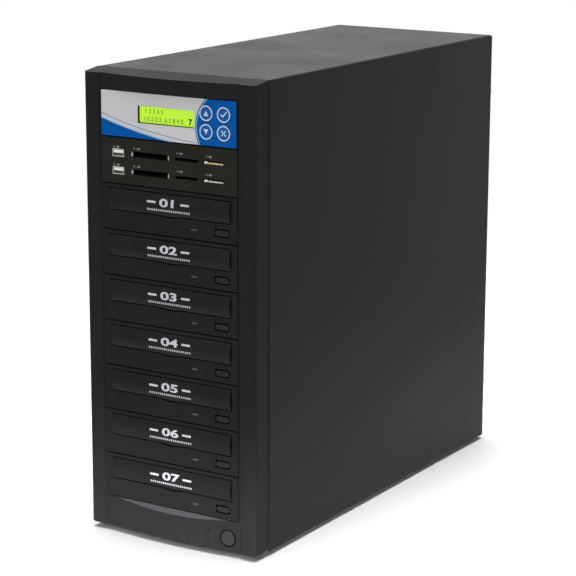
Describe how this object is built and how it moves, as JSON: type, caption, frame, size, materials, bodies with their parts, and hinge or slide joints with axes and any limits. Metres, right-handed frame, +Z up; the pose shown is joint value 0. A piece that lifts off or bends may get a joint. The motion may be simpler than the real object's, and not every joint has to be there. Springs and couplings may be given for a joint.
{
  "type": "disc duplicator tower",
  "caption": "Upright disc-copying tower with stacked tray-loading drives, a card reader, a keypad with display, a power button, and a fan-cooled steel case.",
  "frame": {"origin": "on the floor, under the middle of the whole object's box", "axes": "+Z up; -Y is the front, where the drives open; +X is to the right seen from the front"},
  "size_m": [0.1876, 0.467, 0.4413],
  "materials": {
    "front_plastic": "fine-grained moulding, satin",
    "drive_plastic": "fine-grained moulding",
    "door_plastic": "smooth moulding, semi-matte",
    "tray_plastic": "smooth moulding",
    "cover_paint": "fine-textured powder coat",
    "frame_steel": "zinc-plated sheet",
    "drive_steel": "plain sheet",
    "screw_metal": "nickel-plated",
    "foot_rubber": "moulded",
    "overlay_film": "printed film, satin",
    "key_plastic": "printed, satin",
    "display": "lit character display",
    "board": "solder mask",
    "reader_plastic": "moulded",
    "socket_plastic": "moulded",
    "port_metal": "tin-plated",
    "lamp_plastic": "clear",
    "fan_plastic": "moulded",
    "inlet_plastic": "moulded",
    "motor_metal": "turned"
  },
  "bodies": {
    "tower": {"front_bezel": "front_plastic", "chassis_frame": "frame_steel", "drive_cage": "frame_steel", "rear_panel": "frame_steel", "cover": "cover_paint", "feet": "foot_rubber", "thumb_screws": "screw_metal", "power_supply_case": "frame_steel", "supply_board": "board", "power_inlet": "inlet_plastic", "fan_frames": "fan_plastic", "controller_bezel": "drive_plastic", "controller_overlay": "overlay_film", "display_module": "display", "circuit_boards": "board", "reader_bezel": "reader_plastic", "port_shells": "port_metal", "card_sockets": "socket_plastic", "lamp_lenses": "lamp_plastic", "power_switch": "socket_plastic", "drive_cases": "drive_steel", "drive_decks": "socket_plastic", "drive_spindles": "motor_metal", "drive_sleds": "motor_metal", "drive_1_bezel": "drive_plastic", "drive_2_bezel": "drive_plastic", "drive_3_bezel": "drive_plastic", "drive_4_bezel": "drive_plastic", "drive_5_bezel": "drive_plastic", "drive_6_bezel": "drive_plastic", "drive_7_bezel": "drive_plastic"},
    "power_button": {"power_button": "front_plastic"},
    "mains_rocker": {"power_rocker": "inlet_plastic"},
    "supply_fan": {"supply_fan_rotor": "fan_plastic"},
    "exhaust_fan": {"exhaust_fan_rotor": "fan_plastic"},
    "up_key": {"key_up": "key_plastic"},
    "down_key": {"key_down": "key_plastic"},
    "confirm_key": {"key_confirm": "key_plastic"},
    "cancel_key": {"key_cancel": "key_plastic"},
    "drive_1_drawer": {"drive_1_tray": "tray_plastic", "drive_1_door": "door_plastic"},
    "drive_1_eject": {"drive_1_button": "drive_plastic"},
    "drive_2_drawer": {"drive_2_tray": "tray_plastic", "drive_2_door": "door_plastic"},
    "drive_2_eject": {"drive_2_button": "drive_plastic"},
    "drive_3_drawer": {"drive_3_tray": "tray_plastic", "drive_3_door": "door_plastic"},
    "drive_3_eject": {"drive_3_button": "drive_plastic"},
    "drive_4_drawer": {"drive_4_tray": "tray_plastic", "drive_4_door": "door_plastic"},
    "drive_4_eject": {"drive_4_button": "drive_plastic"},
    "drive_5_drawer": {"drive_5_tray": "tray_plastic", "drive_5_door": "door_plastic"},
    "drive_5_eject": {"drive_5_button": "drive_plastic"},
    "drive_6_drawer": {"drive_6_tray": "tray_plastic", "drive_6_door": "door_plastic"},
    "drive_6_eject": {"drive_6_button": "drive_plastic"},
    "drive_7_drawer": {"drive_7_tray": "tray_plastic", "drive_7_door": "door_plastic"},
    "drive_7_eject": {"drive_7_button": "drive_plastic"}
  },
  "joints": [
    {"name": "power_button_press", "type": "slide", "parent": "tower", "child": "power_button", "axis": [0, 1, 0], "range_m": [0, 0.0025], "stiffness_N_per_m": 400, "springref_m": -0.0015},
    {"name": "mains_rocker_tilt", "type": "hinge", "parent": "tower", "child": "mains_rocker", "pos_m": [-0.048, 0.2238, 0.4033], "axis": [1, 0, 0], "range_deg": [0, 16]},
    {"name": "supply_fan_spin", "type": "hinge", "parent": "tower", "child": "supply_fan", "pos_m": [0.03, 0.21, 0.3863], "axis": [0, 1, 0], "continuous": true},
    {"name": "exhaust_fan_spin", "type": "hinge", "parent": "tower", "child": "exhaust_fan", "pos_m": [0, 0.212, 0.2513], "axis": [0, 1, 0], "continuous": true},
    {"name": "up_key_press", "type": "slide", "parent": "tower", "child": "up_key", "axis": [0, 1, 0], "range_m": [0, 0.0005], "stiffness_N_per_m": 1200, "springref_m": -0.0005},
    {"name": "down_key_press", "type": "slide", "parent": "tower", "child": "down_key", "axis": [0, 1, 0], "range_m": [0, 0.0005], "stiffness_N_per_m": 1200, "springref_m": -0.0005},
    {"name": "confirm_key_press", "type": "slide", "parent": "tower", "child": "confirm_key", "axis": [0, 1, 0], "range_m": [0, 0.0005], "stiffness_N_per_m": 1200, "springref_m": -0.0005},
    {"name": "cancel_key_press", "type": "slide", "parent": "tower", "child": "cancel_key", "axis": [0, 1, 0], "range_m": [0, 0.0005], "stiffness_N_per_m": 1200, "springref_m": -0.0005},
    {"name": "drive_1_drawer_slide", "type": "slide", "parent": "tower", "child": "drive_1_drawer", "axis": [0, -1, 0], "range_m": [0, 0.136]},
    {"name": "drive_1_eject_press", "type": "slide", "parent": "tower", "child": "drive_1_eject", "axis": [0, 1, 0], "range_m": [0, 0.0008], "stiffness_N_per_m": 600, "springref_m": -0.0008},
    {"name": "drive_2_drawer_slide", "type": "slide", "parent": "tower", "child": "drive_2_drawer", "axis": [0, -1, 0], "range_m": [0, 0.136]},
    {"name": "drive_2_eject_press", "type": "slide", "parent": "tower", "child": "drive_2_eject", "axis": [0, 1, 0], "range_m": [0, 0.0008], "stiffness_N_per_m": 600, "springref_m": -0.0008},
    {"name": "drive_3_drawer_slide", "type": "slide", "parent": "tower", "child": "drive_3_drawer", "axis": [0, -1, 0], "range_m": [0, 0.136]},
    {"name": "drive_3_eject_press", "type": "slide", "parent": "tower", "child": "drive_3_eject", "axis": [0, 1, 0], "range_m": [0, 0.0008], "stiffness_N_per_m": 600, "springref_m": -0.0008},
    {"name": "drive_4_drawer_slide", "type": "slide", "parent": "tower", "child": "drive_4_drawer", "axis": [0, -1, 0], "range_m": [0, 0.136]},
    {"name": "drive_4_eject_press", "type": "slide", "parent": "tower", "child": "drive_4_eject", "axis": [0, 1, 0], "range_m": [0, 0.0008], "stiffness_N_per_m": 600, "springref_m": -0.0008},
    {"name": "drive_5_drawer_slide", "type": "slide", "parent": "tower", "child": "drive_5_drawer", "axis": [0, -1, 0], "range_m": [0, 0.136]},
    {"name": "drive_5_eject_press", "type": "slide", "parent": "tower", "child": "drive_5_eject", "axis": [0, 1, 0], "range_m": [0, 0.0008], "stiffness_N_per_m": 600, "springref_m": -0.0008},
    {"name": "drive_6_drawer_slide", "type": "slide", "parent": "tower", "child": "drive_6_drawer", "axis": [0, -1, 0], "range_m": [0, 0.136]},
    {"name": "drive_6_eject_press", "type": "slide", "parent": "tower", "child": "drive_6_eject", "axis": [0, 1, 0], "range_m": [0, 0.0008], "stiffness_N_per_m": 600, "springref_m": -0.0008},
    {"name": "drive_7_drawer_slide", "type": "slide", "parent": "tower", "child": "drive_7_drawer", "axis": [0, -1, 0], "range_m": [0, 0.136]},
    {"name": "drive_7_eject_press", "type": "slide", "parent": "tower", "child": "drive_7_eject", "axis": [0, 1, 0], "range_m": [0, 0.0008], "stiffness_N_per_m": 600, "springref_m": -0.0008}
  ]
}
